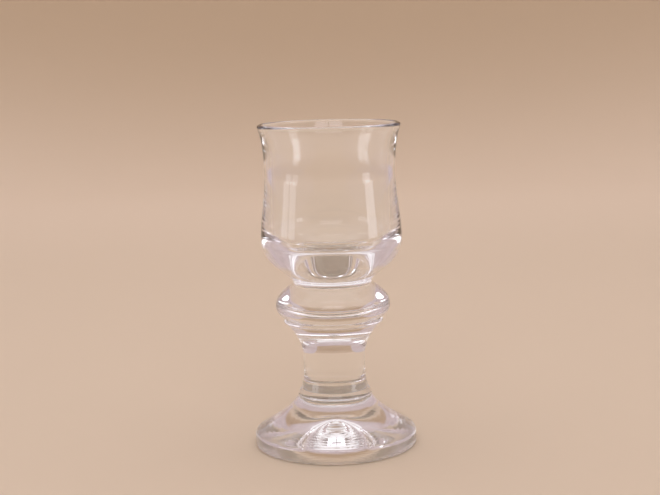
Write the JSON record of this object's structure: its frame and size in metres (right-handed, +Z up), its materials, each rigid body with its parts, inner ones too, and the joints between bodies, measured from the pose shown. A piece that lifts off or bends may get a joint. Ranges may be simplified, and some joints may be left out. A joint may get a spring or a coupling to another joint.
{
  "type": "schnapps glass",
  "caption": "Small clear schnapps glass: waisted bowl with a thick bottom and flared lip, bulbous knop, short flared stem, collar and conical foot.",
  "frame": {"origin": "on the table, under the middle of the foot", "axes": "+Z up, along the axis of the glass; the glass is round, so +X and +Y are any two directions square to it"},
  "size_m": [0.0504, 0.0504, 0.1],
  "materials": {
    "clear_glass": "fire-polished, colourless and smooth"
  },
  "bodies": {
    "root": {"foot": "clear_glass", "collar": "clear_glass", "stem": "clear_glass", "knop": "clear_glass", "bowl": "clear_glass"}
  },
  "joints": []
}
